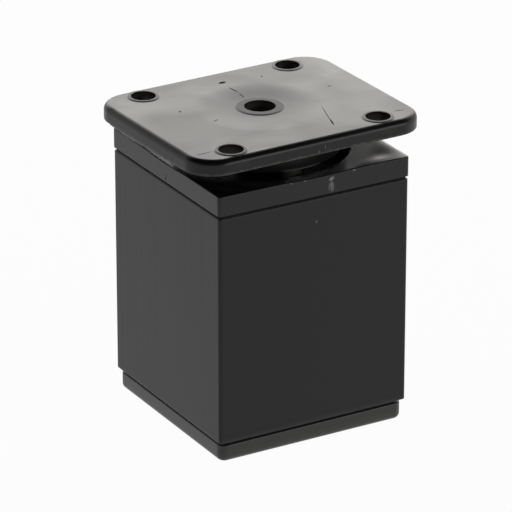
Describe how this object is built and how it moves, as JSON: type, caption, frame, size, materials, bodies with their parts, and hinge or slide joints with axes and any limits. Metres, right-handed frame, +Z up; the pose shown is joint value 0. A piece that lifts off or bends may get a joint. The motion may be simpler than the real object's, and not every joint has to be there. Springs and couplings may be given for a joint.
{
  "type": "furniture leg",
  "caption": "Short square black furniture leg with a moulded foot and collar, and a mounting plate on a central screw for height adjustment.",
  "frame": {"origin": "middle of the foot's underside, on the leg's axis", "axes": "+Z up along the leg, X along the plate's long side, -Y is the front face"},
  "size_m": [0.0494, 0.0404, 0.0602],
  "materials": {
    "tube_black": "satin black coating",
    "foot_black": "fine moulded grain",
    "collar_black": "satin moulded",
    "plate_black": "satin moulded",
    "blackened_steel": "black oxide",
    "spring_steel": "oiled spring steel"
  },
  "bodies": {
    "leg": {"square_tube": "tube_black", "foot_cap": "foot_black", "top_collar": "collar_black", "hex_nut": "blackened_steel"},
    "ring": {"retaining_ring": "spring_steel"},
    "screw": {"adjusting_screw": "blackened_steel"},
    "plate": {"mounting_plate": "plate_black"}
  },
  "joints": [
    {"name": "height_travel", "type": "slide", "parent": "leg", "child": "ring", "axis": [0, 0, 1], "range_m": [-0.0037, 0.011]},
    {"name": "screw_turn", "type": "hinge", "parent": "ring", "child": "screw", "pos_m": [0, 0, 0.054], "axis": [0, 0, 1], "range_deg": [-888, 2640]},
    {"name": "plate_turn", "type": "hinge", "parent": "ring", "child": "plate", "pos_m": [0, 0, 0.054], "axis": [0, 0, 1], "continuous": true}
  ],
  "couplings": [
    {"joint": "height_travel", "follows": "screw_turn", "m_per_rad": 0.00023873}
  ]
}
